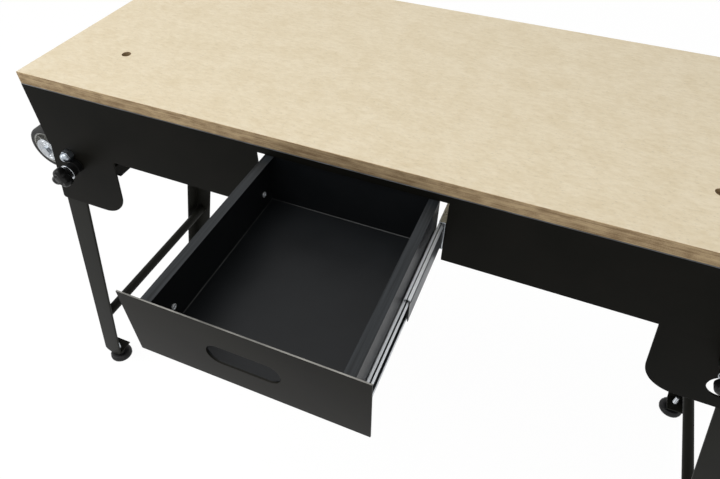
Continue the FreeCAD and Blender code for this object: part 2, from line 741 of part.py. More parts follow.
def centred_rod(radius, width):
    return rod_y(wheel_x, wheel_z, radius, wheel_mid_y - width * half_share, wheel_mid_y + width * half_share)


rim_inner_radius = rim_radius - rim_wall
ring = cut(centred_rod(rim_radius, rim_width), centred_rod(rim_inner_radius, rim_width))
disc = centred_rod(rim_inner_radius, wheel_disc_width)
wheel_hub = centred_rod(wheel_hub_diameter * half_share, wheel_hub_width)
ribs = []
for index in range(wheel_ribs):
    rib = block(wheel_x, wheel_x + rim_inner_radius, wheel_mid_y - wheel_rib_depth * half_share,
                wheel_mid_y + wheel_rib_depth * half_share,
                wheel_z - wheel_rib_width * half_share, wheel_z + wheel_rib_width * half_share)
    rib.rotate(Vector(wheel_x, wheel_mid_y, wheel_z), AXIS_Y, full_turn * index / wheel_ribs)
    ribs.append(rib)
axle_radius = axle_diameter * half_share
core = cut(fuse(ring, disc, wheel_hub, *ribs), centred_rod(axle_radius + running_gap, wheel_hub_width))
save("wheel_tyre_front", tyre)
save("wheel_core_front", core)
save("wheel_tyre_rear", mirror_depth(tyre))
save("wheel_core_rear", mirror_depth(core))


# Wheel brackets: a base on the end panel and one arm with a rounded end behind each wheel
def tangent_point(corner_x, corner_z, side):
    dx = corner_x - wheel_x
    dz = corner_z - wheel_z
    lean = math.degrees(math.acos(bracket_end_radius / math.hypot(dx, dz)))
    return polar(wheel_x, wheel_z, bracket_end_radius, math.degrees(math.atan2(dz, dx)) + side * lean)


base_x1 = end_panel_inset
base_x0 = base_x1 - bracket_base_thickness
high_tangent = tangent_point(base_x1, -bracket_top_drop, 1)
low_tangent = tangent_point(base_x1, -bracket_base_drop, -1)
arm_points = [(base_x1, -bracket_top_drop), high_tangent, low_tangent, (base_x1, -bracket_base_drop)]
arm_y0 = wheel_back_y + wheel_side_gap
arm_y1 = arm_y0 + bracket_thickness
base_y1 = arm_y0 + bracket_base_width
bracket = fuse(block(base_x0, base_x1, arm_y0, base_y1, -bracket_base_drop, -bracket_top_drop),
               plate(arm_points, arm_y0, arm_y1),
               rod_y(wheel_x, wheel_z, bracket_end_radius, arm_y0, arm_y1))
bracket = cut(bracket, rod_y(wheel_x, wheel_z, axle_radius, arm_y0, arm_y1))
save("wheel_bracket_front", bracket)
save("wheel_bracket_rear", mirror_depth(bracket))

# Wheel axle bolts, each with a broad washer before the wheel and a nut behind the arm
washer_y1 = wheel_front_y - wheel_side_gap
washer_y0 = washer_y1 - axle_washer_thickness
axle = fuse(rod_y(wheel_x, wheel_z, axle_radius, washer_y0, arm_y1 + axle_nut_height + axle_end),
            hexagon_y(wheel_x, wheel_z, axle_hex_flats, washer_y0 - axle_head_height, washer_y0))
axle_washer = cut(rod_y(wheel_x, wheel_z, axle_washer_diameter * half_share, washer_y0, washer_y1),
                  rod_y(wheel_x, wheel_z, axle_radius, washer_y0, washer_y1))
axle_nut = cut(hexagon_y(wheel_x, wheel_z, axle_hex_flats, arm_y1, arm_y1 + axle_nut_height),
               rod_y(wheel_x, wheel_z, axle_radius, arm_y1, arm_y1 + axle_nut_height))
axle_set = [axle, axle_washer, axle_nut]
save("wheel_axle_bolts", group(axle_set + [mirror_depth(shape) for shape in axle_set]))
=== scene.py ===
# %% [markdown]
# # A folding workbench
# A thick fibreboard top sits on a frame of folded sheet steel. The frame holds one drawer on ball slides,
# two pairs of folding legs, their clamping knobs and levelling feet, and two wheels at one end.
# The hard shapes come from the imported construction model, which is loaded first and stays where it is.
# This lesson dresses it: edges are eased, small hardware gets its threads and recesses, and every piece
# gets a finish built from nodes.

# %% Load the frame
import bmesh
import bpy
import json
import math
from mathutils import Matrix, Vector


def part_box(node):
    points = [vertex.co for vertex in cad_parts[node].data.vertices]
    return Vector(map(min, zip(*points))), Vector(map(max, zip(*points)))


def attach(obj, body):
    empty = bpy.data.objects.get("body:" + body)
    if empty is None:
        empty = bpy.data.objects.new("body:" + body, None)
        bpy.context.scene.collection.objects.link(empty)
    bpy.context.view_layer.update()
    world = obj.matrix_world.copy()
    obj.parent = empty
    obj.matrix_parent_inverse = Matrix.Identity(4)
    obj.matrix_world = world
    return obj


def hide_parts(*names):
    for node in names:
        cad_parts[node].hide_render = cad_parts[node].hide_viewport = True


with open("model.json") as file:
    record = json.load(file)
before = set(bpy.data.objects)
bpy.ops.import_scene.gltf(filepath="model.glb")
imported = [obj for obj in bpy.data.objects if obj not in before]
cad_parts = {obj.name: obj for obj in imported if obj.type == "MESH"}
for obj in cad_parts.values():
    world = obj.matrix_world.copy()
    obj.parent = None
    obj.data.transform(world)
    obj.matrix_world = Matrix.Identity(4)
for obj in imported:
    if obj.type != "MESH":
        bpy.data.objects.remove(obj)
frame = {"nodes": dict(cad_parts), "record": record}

nodes = frame["nodes"]
body_of_node = {n: body for body, members in frame["record"]["behaviour"]["bodies"].items() for n in members}
slot_of_node = {part["node"]: part["material_slot"] for part in frame["record"]["subparts"]}
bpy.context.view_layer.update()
mm = 0.001

# %% [markdown]
# ## Where things are
# The model's origin is on the floor, under the middle of the bench. Sizes on a bench are easier to read from
# the board's front left top corner, as on a drawing, so one function turns such a place into the model's
# frame. The corner could be typed in as well, but the loaded board gives it, and then it can't be wrong.

# %% Places on the bench
board_low, board_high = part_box("worktop")
corner = Vector((board_low.x, board_low.y, board_high.z))
bench_length = (board_high.x - board_low.x) / mm


def place(x, y, z):
    """A point in metres, from millimetres right of, behind and above the board's front left top corner."""
    return corner + Vector((x, y, z)) * mm


print("board corner", corner, "length", round(bench_length, 1))

# %% [markdown]
# ## The camera
# The photograph looks down at the bench from in front, right of its middle. The place and the three turns
# were found by fitting the board's corners, the apron, the legs and the drawer. A Blender camera looks
# along its own -Z with +Y up, so its matrix is built from the view's right, up and backward directions. A
# Track To constraint would be shorter, but it can't hold the small roll.

# %% Camera
eye = place(722.8, -489.3, 410.0)
yaw, pitch, roll = -0.388, 0.797, -0.005
focal_pixels, frame_pixels = 571.7, 720
sensor_width, near_clip = 36, 0.01
forward = Vector((math.sin(yaw) * math.cos(pitch), math.cos(yaw) * math.cos(pitch), -math.sin(pitch)))
level = Vector((math.cos(yaw), -math.sin(yaw), 0))
down = forward.cross(level)
right = math.cos(roll) * level + math.sin(roll) * down
up = math.sin(roll) * level - math.cos(roll) * down
camera = bpy.data.objects.new("camera", bpy.data.cameras.new("camera"))
bpy.context.scene.collection.objects.link(camera)
camera.data.sensor_width = sensor_width
camera.data.lens = focal_pixels / frame_pixels * sensor_width
camera.data.clip_start = near_clip
camera.matrix_world = Matrix((
    (right.x, up.x, -forward.x, eye.x),
    (right.y, up.y, -forward.y, eye.y),
    (right.z, up.z, -forward.z, eye.z),
    (0, 0, 0, 1)))
bpy.context.scene.camera = camera
print("lens", round(camera.data.lens, 2), "mm at", eye)

# %% [markdown]
# ## Colours and nodes
# Colours are picked as the sRGB hex values that the eye sees, and shaders want linear light, so one
# function turns one into the other. The finishes could be clicked together in the shader editor, but in code
# they stay alike and easy to compare. One function adds a node with its settings and what feeds it, which
# keeps every finish below down to a few readable lines, and one makes the empty finish that they go into.

# %% Colour and node helpers
def linear(code):
    """A linear RGBA colour from an sRGB hex code."""
    parts = [int(code[i:i + 2], 16) / 255 for i in (1, 3, 5)]
    return [c / 12.92 if c <= 0.04045 else ((c + 0.055) / 1.055) ** 2.4 for c in parts] + [1.0]


def add(tree, kind, sockets=None, **settings):
    """Adds one node: settings are its options, sockets its values or the outputs that feed it."""
    node = tree.nodes.new("ShaderNode" + kind)
    for name, value in settings.items():
        setattr(node, name, value)
    for name, value in (sockets or {}).items():
        if isinstance(value, bpy.types.NodeSocket):
            tree.links.new(value, node.inputs[name])
        else:
            node.inputs[name].default_value = value
    return node


def finish(name, **values):
    """An empty finish: its material, its node tree and its shader, with plain values set on the shader."""
    material = bpy.data.materials.new(name)
    material.use_nodes = True
    shader = material.node_tree.nodes["Principled BSDF"]
    for key, value in values.items():
        shader.inputs[key.replace("_", " ")].default_value = value
    return material, material.node_tree, shader


print("middle grey in linear light", [round(c, 3) for c in linear("#808080")])

# %% [markdown]
# ## Powder coat
# The frame and legs are sheet steel, sprayed with dry paint powder and baked. The eye sees a nearly black,
# slightly warm coat with a satin gloss and a fine orange peel, about one bump every millimetre. The peel
# could be real displacement, but it is far too shallow to change an outline, so it goes to bump alone. A
# broad noise shifts tone and roughness together, so that large panels aren't dead flat. The frame, the legs,
# the drawer's front and its inside differ a little in tone and gloss. Lighter coats of the same recipe are
# painted light: a painted sheen on the drawer's top rim, and painted highlights on the top edge of the
# drawer's front, the aprons' bends and the drawer's folds.

# %% Powder coat finishes
peel_width, peel_depth = 1.1, 0.12
gloss_spread = 0.05
dark_end, light_end = 0.35, 0.65


def powder_coat(name, light, dark, roughness, shine, cloud=90, along=1.0):
    """Baked paint: two close tones in clouds that may be drawn out along Y, and millimetre orange peel."""
    material, tree, shader = finish(name, Metallic=0.0, IOR=1.5, Specular_IOR_Level=shine)
    where = add(tree, "TexCoord").outputs["Object"]
    drawn = add(tree, "Mapping", {"Vector": where, "Scale": (1.0, along, 1.0)})
    clouds = add(tree, "TexNoise", {"Vector": drawn.outputs["Vector"], "Scale": 1 / (cloud * mm),
                                    "Detail": 4.0})
    tone = add(tree, "ValToRGB", {"Fac": clouds.outputs["Fac"]})
    tone.color_ramp.elements[0].position = dark_end
    tone.color_ramp.elements[0].color = linear(dark)
    tone.color_ramp.elements[1].position = light_end
    tone.color_ramp.elements[1].color = linear(light)
    gloss = add(tree, "MapRange", {"Value": clouds.outputs["Fac"], "To Min": roughness - gloss_spread,
                                   "To Max": roughness + gloss_spread})
    peel = add(tree, "TexNoise", {"Vector": where, "Scale": 1 / (peel_width * mm), "Detail": 2.0})
    bump = add(tree, "Bump", {"Height": peel.outputs["Fac"], "Strength": 0.12, "Distance": peel_depth * mm})
    tree.links.new(tone.outputs["Color"], shader.inputs["Base Color"])
    tree.links.new(gloss.outputs["Result"], shader.inputs["Roughness"])
    tree.links.new(bump.outputs["Normal"], shader.inputs["Normal"])
    return material


frame_coat = powder_coat("black_powder_coat_frame", "#161512", "#11110E", 0.46, 0.035)
leg_coat = powder_coat("black_powder_coat_legs", "#1F1F1B", "#191916", 0.46, 0.06)
front_coat = powder_coat("charcoal_powder_coat_front", "#1F1E1A", "#181714", 0.42, 0.06)
inside_coat = powder_coat("charcoal_powder_coat_inside", "#16181A", "#101214", 0.40, 0.18)
# The next four coats are painted light: a painted sheen for the drawer's top rim, and painted highlights for
# the front's top edge, the aprons' bends and the drawer's folds.
painted_sheen_rim_coat = powder_coat("rim_powder_coat_painted_sheen", "#2A2D30", "#16191B", 0.36, 0.2, cloud=3, along=0.02)
painted_highlight_edge_coat = powder_coat("edge_powder_coat_painted_highlight", "#9A9892", "#5E5D59", 0.34, 0.3, cloud=40)
painted_highlight_bend_coat = powder_coat("bend_powder_coat_painted_highlight", "#606266", "#3C3D3F", 0.3, 0.5, cloud=30)
painted_highlight_fold_coat = powder_coat("fold_powder_coat_painted_highlight", "#343535", "#1E1F1F", 0.3, 0.3, cloud=30)
coats = [frame_coat, leg_coat, front_coat, inside_coat, painted_sheen_rim_coat, painted_highlight_edge_coat, painted_highlight_bend_coat, painted_highlight_fold_coat]
print("coats", [coat.name for coat in coats])

# %% [markdown]
# ## Fibreboard
# The top is medium density fibreboard: wood fibres pressed with resin and sanded smooth. Its face is a
# cream tan, matt, with a faint mottle a few centimetres wide, soft streaks and tiny darker fibres. A real
# fibre is a tenth of a millimetre thick, too fine to show, so fibres are drawn 1.6 mm wide. Where the saw has
# cut the edge it is browner and drier, with fine lines along the board where the denser skins meet the core,
# grit, and blotches about a centimetre long. One material with a mask could do both, but the real board shows
# them as two surfaces, so face and edge are two materials.

# %% Fibreboard face
board_face, tree, shader = finish("sanded_fibreboard_face", Metallic=0.0, IOR=1.45, Roughness=0.62)
mottle_width, streak_width, fibre_width, nap_depth = 45, 4, 1.6, 0.08
where = add(tree, "TexCoord").outputs["Object"]
mottle = add(tree, "TexNoise", {"Vector": where, "Scale": 1 / (mottle_width * mm), "Detail": 6.0,
                                "Roughness": 0.7})
along = add(tree, "Mapping", {"Vector": where, "Scale": (0.4, 1.0, 1.0)})
streaks = add(tree, "TexNoise", {"Vector": along.outputs["Vector"], "Scale": 1 / (streak_width * mm),
                                 "Detail": 3.0})
mixed = add(tree, "Math", {0: mottle.outputs["Fac"], 1: streaks.outputs["Fac"]}, operation="ADD")
tone = add(tree, "ValToRGB", {"Fac": add(tree, "Math", {0: mixed.outputs[0], 1: 0.5},
                                         operation="MULTIPLY").outputs[0]})
tone.color_ramp.elements[0].position = 0.36
tone.color_ramp.elements[0].color = linear("#D8C8A8")
tone.color_ramp.elements[1].position = 0.62
tone.color_ramp.elements[1].color = linear("#E4D7BC")
fibres = add(tree, "TexNoise", {"Vector": along.outputs["Vector"], "Scale": 1 / (fibre_width * mm),
                                "Detail": 2.0})
specks = add(tree, "MapRange", {"Value": fibres.outputs["Fac"], "From Min": 0.24, "From Max": 0.42,
                                "To Min": 0.84, "To Max": 1.0})
shade = add(tree, "MixRGB", {"Fac": 1.0, "Color1": tone.outputs["Color"], "Color2": specks.outputs["Result"]},
            blend_type="MULTIPLY")
nap = add(tree, "Bump", {"Height": fibres.outputs["Fac"], "Strength": 0.15, "Distance": nap_depth * mm})
tree.links.new(shade.outputs["Color"], shader.inputs["Base Color"])
tree.links.new(nap.outputs["Normal"], shader.inputs["Normal"])
print("finish", board_face.name)

# %% Fibreboard edge
board_edge, tree, shader = finish("sawn_fibreboard_edge", Metallic=0.0, IOR=1.45, Roughness=0.85)
line_width, grit_width, blotch_width, saw_depth = 1.3, 0.9, 7, 0.1
where = add(tree, "TexCoord").outputs["Object"]
layers = add(tree, "Mapping", {"Vector": where, "Scale": (0.02, 0.02, 1.0)})
lines = add(tree, "TexNoise", {"Vector": layers.outputs["Vector"], "Scale": 1 / (line_width * mm),
                               "Detail": 3.0})
grit = add(tree, "TexNoise", {"Vector": where, "Scale": 1 / (grit_width * mm), "Detail": 2.0})
wide = add(tree, "Mapping", {"Vector": where, "Scale": (0.4, 0.4, 1.0)})
blotches = add(tree, "TexNoise", {"Vector": wide.outputs["Vector"], "Scale": 1 / (blotch_width * mm),
                                  "Detail": 3.0})
fine = add(tree, "Math", {0: lines.outputs["Fac"], 1: grit.outputs["Fac"]}, operation="ADD")
total = add(tree, "Math", {0: fine.outputs[0], 1: blotches.outputs["Fac"]}, operation="ADD")
tone = add(tree, "ValToRGB", {"Fac": add(tree, "Math", {0: total.outputs[0], 1: 1 / 3},
                                         operation="MULTIPLY").outputs[0]})
tone.color_ramp.elements[0].position = 0.42
tone.color_ramp.elements[0].color = linear("#876F50")
tone.color_ramp.elements[1].position = 0.58
tone.color_ramp.elements[1].color = linear("#BDA580")
cut = add(tree, "Bump", {"Height": total.outputs[0], "Strength": 0.3, "Distance": saw_depth * mm})
tree.links.new(tone.outputs["Color"], shader.inputs["Base Color"])
tree.links.new(cut.outputs["Normal"], shader.inputs["Normal"])
print("finish", board_edge.name)

# %% [markdown]
# ## Metals
# Slides, brackets, bolts and studs are steel with a bright zinc plate: a cool silver that is slightly
# cloudy, with faint rolling lines along the strip. The slides' rolled faces are brushed, brighter and more
# matt. Their flat webs and the tracks where the balls run are darker copies of the zinc: painted shade under
# the lips and in the grooves. The cap nuts are nickel plated, which is a colder grey. A metal keeps the default
# IOR. Clouds and lines could go to bump, but plate fills the scratches of the steel and leaves no relief that
# the eye can see at this distance, so both are in the roughness.

# %% Plated metals
draw_line_width = 2.5


def plated(name, code, cloudy, low, high):
    """Plated steel: clouds about a centimetre wide in the roughness, and long soft draw lines along Y."""
    material, tree, shader = finish(name, Metallic=1.0)
    shader.inputs["Base Color"].default_value = linear(code)
    where = add(tree, "TexCoord").outputs["Object"]
    clouds = add(tree, "TexNoise", {"Vector": where, "Scale": 1 / (cloudy * mm), "Detail": 3.0})
    drawn = add(tree, "Mapping", {"Vector": where, "Scale": (1.0, 0.02, 1.0)})
    lines = add(tree, "TexNoise", {"Vector": drawn.outputs["Vector"], "Scale": 1 / (draw_line_width * mm),
                                   "Detail": 1.0})
    both = add(tree, "Math", {0: clouds.outputs["Fac"], 1: lines.outputs["Fac"]}, operation="ADD")
    gloss = add(tree, "MapRange", {"Value": both.outputs[0], "From Min": 0.7, "From Max": 1.3,
                                   "To Min": low, "To Max": high})
    tree.links.new(gloss.outputs["Result"], shader.inputs["Roughness"])
    return material


zinc = plated("bright_zinc_plate", "#B4B8BC", 9.0, 0.2, 0.34)
# Painted shade: darker copies of the zinc for the slides' webs and ball tracks, which the lips shade.
painted_shade_zinc = plated("zinc_painted_shade", "#66686B", 14.0, 0.4, 0.5)
painted_deep_shade_zinc = plated("zinc_track_painted_deep_shade", "#2E3032", 14.0, 0.45, 0.6)
slide_zinc = plated("brushed_slide_zinc", "#E0E3E6", 14.0, 0.5, 0.62)
nickel = plated("polished_nickel_plate", "#A4ACB4", 12.0, 0.26, 0.34)
print("metals", [metal.name for metal in (zinc, painted_shade_zinc, painted_deep_shade_zinc, slide_zinc, nickel)])

# %% [markdown]
# ## Plastics and rubber
# Knobs and feet are glass filled nylon: black, satin, with a fine moulded grain. The wheel cores are light
# grey polypropylene, a little waxy. The tyres are solid rubber, matt black with slightly dusty patches. Each
# could have a recipe of its own, but only tone, gloss and grain size differ, so one recipe makes all four.
# The real grain is a quarter of a millimetre wide, and is drawn twice to three times as coarse, to show.

# %% Plastics and rubber
patch_width = 15


def moulded(name, light, dark, roughness, grain, depth, shine=0.5):
    """A moulded skin: two close tones and a fine grain of the tool's surface."""
    material, tree, shader = finish(name, Metallic=0.0, IOR=1.5, Roughness=roughness,
                                    Specular_IOR_Level=shine)
    where = add(tree, "TexCoord").outputs["Object"]
    clouds = add(tree, "TexNoise", {"Vector": where, "Scale": 1 / (patch_width * mm), "Detail": 3.0})
    tone = add(tree, "ValToRGB", {"Fac": clouds.outputs["Fac"]})
    tone.color_ramp.elements[0].position = dark_end
    tone.color_ramp.elements[0].color = linear(dark)
    tone.color_ramp.elements[1].position = light_end
    tone.color_ramp.elements[1].color = linear(light)
    skin = add(tree, "TexNoise", {"Vector": where, "Scale": 1 / (grain * mm), "Detail": 2.0})
    bump = add(tree, "Bump", {"Height": skin.outputs["Fac"], "Strength": 0.2, "Distance": depth * mm})
    tree.links.new(tone.outputs["Color"], shader.inputs["Base Color"])
    tree.links.new(bump.outputs["Normal"], shader.inputs["Normal"])
    return material


nylon = moulded("black_glass_filled_nylon", "#131313", "#0B0B0B", 0.3, 0.5, 0.04, 0.22)
foot_nylon = moulded("black_foot_nylon", "#171718", "#101011", 0.45, 0.6, 0.05, 0.25)
rubber = moulded("solid_tyre_rubber", "#242423", "#191919", 0.72, 0.8, 0.08)
wheel_plastic = moulded("grey_wheel_polypropylene", "#B9B9B5", "#A9A9A5", 0.4, 0.7, 0.04)
finish_of_slot = {
    "fibreboard": board_face, "frame_paint": frame_coat, "leg_paint": leg_coat,
    "drawer_paint": front_coat, "drawer_inside_paint": inside_coat, "zinc_plate": zinc,
    "bright_nuts": nickel, "black_plastic": nylon, "foot_plastic": foot_nylon,
    "wheel_rubber": rubber, "wheel_plastic": wheel_plastic}
print("finishes by slot", len(finish_of_slot))

# %% [markdown]
# ## Eased edges
# Folded and sheared steel never has a razor edge: paint and tumbling leave a small radius that catches the
# light. The construction model is exact but sharp. Its pieces could be drawn again, but a copy keeps every
# hole where it belongs: its triangles are merged into whole faces, and a bevel modifier rounds every edge
# that turns by more than about thirty degrees.

# %% Eased copies of the construction pieces
sharp_turn = math.radians(32)
flat_turn = math.radians(0.6)
weld_distance = 0.002


def finished_mesh(name, work):
    """A mesh from a bmesh whose making is finished."""
    mesh = bpy.data.meshes.new(name)
    work.to_mesh(mesh)
    work.free()
    return mesh


def in_scene(name, data):
    """An object of the scene for a mesh or a lamp."""
    piece = bpy.data.objects.new(name, data)
    bpy.context.scene.collection.objects.link(piece)
    return piece


def eased(node, width, materials=None):
    """A copy of a node with rounded edges, that stands for the node and moves with its body."""
    mesh = nodes[node].data.copy()
    mesh.materials.clear()
    for material in materials or [finish_of_slot[slot_of_node[node]]]:
        mesh.materials.append(material)
    if "custom_normal" in mesh.attributes:
        mesh.attributes.remove(mesh.attributes["custom_normal"])
    work = bmesh.new()
    work.from_mesh(mesh)
    bmesh.ops.remove_doubles(work, verts=work.verts, dist=weld_distance * mm)
    bmesh.ops.dissolve_limit(work, angle_limit=flat_turn, verts=work.verts, edges=work.edges)
    for face in work.faces:
        face.material_index = 0
    work.to_mesh(mesh)
    work.free()
    mesh.shade_smooth()
    mesh.set_sharp_from_angle(angle=sharp_turn)
    piece = in_scene(node + "_eased", mesh)
    bevel = piece.modifiers.new("eased_edges", "BEVEL")
    bevel.width = width * mm
    bevel.segments = 2
    bevel.limit_method = "ANGLE"
    bevel.angle_limit = sharp_turn
    bevel.harden_normals = True
    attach(piece, body_of_node[node])
    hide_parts(node)
    return piece


sheet_pieces = ["front_apron", "rear_apron", "left_end_panel", "right_end_panel",
                "front_left_ear", "front_right_ear", "rear_left_ear", "rear_right_ear",
                "left_stretcher_bar", "right_stretcher_bar", "left_runner_bracket", "right_runner_bracket",
                "left_leg_front", "left_leg_rear", "right_leg_front", "right_leg_rear",
                "left_foot_plates", "right_foot_plates", "left_cross_tube", "right_cross_tube",
                "wheel_bracket_front", "wheel_bracket_rear", "drawer_box", "drawer_front",
                "slide_outer_left", "slide_outer_right", "slide_stop_left", "slide_stop_right"]
# Second coats paint light onto faces: painted highlights on the aprons' bends and on the front's top edge, and
# a painted sheen on the drawer's top rim.
painted_light_coat = {"front_apron": painted_highlight_bend_coat, "rear_apron": painted_highlight_bend_coat,
               "drawer_box": painted_sheen_rim_coat, "drawer_front": painted_highlight_edge_coat}
thin_edge, sheet_edge = 0.2, 0.4
rim_depth = 0.3


def takes_painted_light(name, face, top):
    """Whether a face takes the second coat, which paints light: a painted highlight on an apron's bend under
    the board, or a painted highlight or sheen on a drawer piece's top rim.
    """
    if name.endswith("apron"):
        return face.normal.z > 0.3 and abs(face.normal.y) > 0.3
    return face.normal.z > 0.9 and face.center.z > top - rim_depth * mm


for name in sheet_pieces:
    thin = name.startswith(("slide", "drawer"))
    coats = [finish_of_slot[slot_of_node[name]]]
    if name in painted_light_coat:
        coats.append(painted_light_coat[name])
    piece = eased(name, thin_edge if thin else sheet_edge, coats)
    if name in painted_light_coat:
        top = max(v.co.z for v in piece.data.vertices)
        for face in piece.data.polygons:
            face.material_index = int(takes_painted_light(name, face, top))
print("eased pieces", len(sheet_pieces))

# %% [markdown]
# ## The board
# The board is the construction piece again, with its own two finishes: every face that looks up or down is
# sanded skin, and the rest is sawn edge. Its dog holes could be cut again with a boolean, but the copy has
# them already, and the bevel breaks their rims as a router would.

# %% Worktop
board_rim = 0.6
worktop = eased("worktop", board_rim, [board_face, board_edge])
for face in worktop.data.polygons:
    face.material_index = 0 if abs(face.normal.z) > 0.9 else 1
print("worktop faces", len(worktop.data.polygons))

# %% [markdown]
# ## Folds of the drawer
# Where the drawer's floor is bent up into its walls the fold is a small radius. Its lighter coat is a painted
# highlight, so that from above the folds are thin light lines round the floor. A wider bevel would round every
# edge of the drawer alike, so each fold is a small quarter round of its own, laid along its corner.

# %% Inner folds
fold_radius, fold_depth = 1.0, 0.2
fold_turns = (0.0, 0.39, 0.79, 1.18, math.pi / 2)


def fold(start, end, inward):
    """A closed quarter round between two points of an inner fold, in bench millimetres."""
    section = [(-fold_depth, -fold_depth)] + [(fold_radius * (1 - math.cos(a)), fold_radius * (1 - math.sin(a)))
                                              for a in fold_turns]
    work = bmesh.new()
    rows = [[work.verts.new(place(*spot) + Vector(inward) * u * mm + Vector((0, 0, v * mm)))
             for u, v in section] for spot in (start, end)]
    for index in range(len(section)):
        after = (index + 1) % len(section)
        work.faces.new((rows[0][index], rows[0][after], rows[1][after], rows[1][index]))
    work.faces.new(rows[0])
    work.faces.new(rows[1][::-1])
    bmesh.ops.recalc_face_normals(work, faces=work.faces)
    mesh = finished_mesh("fold", work)
    # The fold's lighter coat is a painted highlight.
    mesh.materials.append(painted_highlight_fold_coat)
    return mesh


drawer_offset = 3.0
drawer_middle = bench_length / 2 - drawer_offset
floor_half_width, near_y, far_y, floor_z = 113.2, -253.8, 2.4, -104.8
left_x, right_x = drawer_middle - floor_half_width, drawer_middle + floor_half_width
turns = [(left_x, near_y, floor_z), (left_x, far_y, floor_z), (right_x, far_y, floor_z),
         (right_x, near_y, floor_z)]
inward_from = {"left": (1, 0, 0), "rear": (0, -1, 0), "right": (-1, 0, 0), "front": (0, 1, 0)}
for index, title in enumerate(inward_from):
    line = in_scene("drawer_fold_" + title, fold(turns[index], turns[(index + 1) % 4], inward_from[title]))
    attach(line, body_of_node["drawer_box"])
print("folds round the drawer floor", len(turns))

# %% [markdown]
# ## Round and hexagonal hardware
# Nuts, screw heads, threads, pads, tyres and balls are all rings of points round an axis. They could be
# primitives with booleans, but one function is lighter and cleaner: it asks a profile for the radius and
# height of each ring at every angle, so a hexagon, a thread or a knob's lobes are just radii that depend on
# the angle.

# %% Solids from rings round an axis
crease_turn = math.radians(38)
pole = 0.01


def ring_solid(profile, steps, closed=False):
    """A mesh about Z, in millimetres: profile(angle) gives (radius, height) pairs, ring by ring."""
    work = bmesh.new()
    columns = []
    for index in range(steps):
        angle = 2 * math.pi * index / steps
        columns.append([work.verts.new((r * math.cos(angle) * mm, r * math.sin(angle) * mm, h * mm))
                        for r, h in profile(angle)])
    rings = len(columns[0])
    for index in range(steps):
        here, there = columns[index], columns[(index + 1) % steps]
        for ring in range(rings if closed else rings - 1):
            above = (ring + 1) % rings
            work.faces.new((here[ring], there[ring], there[above], here[above]))
    if not closed:
        work.faces.new([column[0] for column in reversed(columns)])
        work.faces.new([column[-1] for column in columns])
    bmesh.ops.recalc_face_normals(work, faces=work.faces)
    mesh = finished_mesh("ring_solid", work)
    mesh.shade_smooth()
    mesh.set_sharp_from_angle(angle=crease_turn)
    return mesh


def facing(point, axis):
    """A matrix that stands a mesh's Z along an axis, at a point in metres."""
    return Matrix.Translation(point) @ Vector(axis).to_track_quat("Z", "Y").to_matrix().to_4x4()


def joined(name, parts, material, node=None, body=None):
    """One object from (mesh, matrix) pairs, that rides on a body and may stand for a node."""
    work = bmesh.new()
    for mesh, matrix in parts:
        bit = mesh.copy()
        bit.transform(matrix)
        work.from_mesh(bit)
        bpy.data.meshes.remove(bit)
    whole = finished_mesh(name, work)
    whole.materials.append(material)
    whole.set_sharp_from_angle(angle=crease_turn)
    piece = in_scene(name, whole)
    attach(piece, body or body_of_node[node])
    if node:
        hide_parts(node)


print("rings are closed at the axis by points", pole, "mm from it")

# %% [markdown]
# ## Threads, nuts and screws
# An M10 thread has a pitch of 1.5 mm and is about 0.9 mm deep; 0.7 mm is enough to read as a thread. A Screw
# modifier could wind it, but the ring function gives it at once: the groove climbs one pitch in every turn, so
# its phase at a point is height over pitch minus the share of the turn. A nut is a hexagon whose corners are
# turned off at thirty degrees, and a domed cap closes the nuts that show.

# %% Threads
rings_per_pitch = 5
thread_steps = 24
thread_core = 0.4
tip_chamfer = 1.0


def threaded(radius, length, pitch, depth, plain=0.0):
    """A stud from height 0 to its length, threaded above the plain part, with a chamfered tip."""
    rings = int(length / pitch * rings_per_pitch)

    def profile(angle):
        points = [(pole, 0.0)]
        for ring in range(rings + 1):
            height = length * ring / rings
            phase = (height / pitch - angle / (2 * math.pi)) % 1.0
            groove = depth * (1 - abs(2 * phase - 1)) if height > plain else 0.0
            tip = max(0.0, height - (length - tip_chamfer))
            points.append((max(thread_core, min(radius - groove, radius - tip)), height))
        return points + [(pole, length)]

    return ring_solid(profile, thread_steps)


m10_radius, m10_bore, m10_flats = 5.0, 5.05, 16.0
m10_pitch, m10_groove = 1.5, 0.7


def m10_stud(length, plain=0.0):
    """A threaded M10 stud."""
    return threaded(m10_radius, length, m10_pitch, m10_groove, plain)


print("threads have", rings_per_pitch, "rings in a pitch of", m10_pitch, "mm")

# %% Hexagon nuts and heads
hex_steps = 72
face_share = 0.985
corner_slope = 0.577
bore_chamfer, bore_drop = 0.5, 0.3


def hexagon(angle, flats):
    """At an angle: how far the hexagon's side and its turned end face reach, and the chamfer's drop."""
    side = flats / 2 / math.cos((angle % (math.pi / 3)) - math.pi / 6)
    end_face = min(side, flats / 2 * face_share)
    return side, end_face, (side - end_face) * corner_slope


def hex_nut(flats, height, bore, dome=0.0):
    """A chamfered hexagon nut from height 0, open or closed by a dome."""
    def profile(angle):
        side, end_face, drop = hexagon(angle, flats)
        points = [(bore, bore_drop), (bore + bore_chamfer, 0.0), (end_face, 0.0), (side, drop),
                  (side, height - drop)]
        if not dome:
            return points + [(end_face, height), (bore + bore_chamfer, height), (bore, height - bore_drop)]
        cap, step = flats / 2 * 0.95, 0.2
        shoulder = [(end_face, height), (cap, height + step)]
        arc = [(max(pole, cap * math.cos(math.radians(a))), height + step + dome * math.sin(math.radians(a)))
               for a in range(10, 91, 10)]
        return points + shoulder + arc

    return ring_solid(profile, hex_steps, closed=not dome)


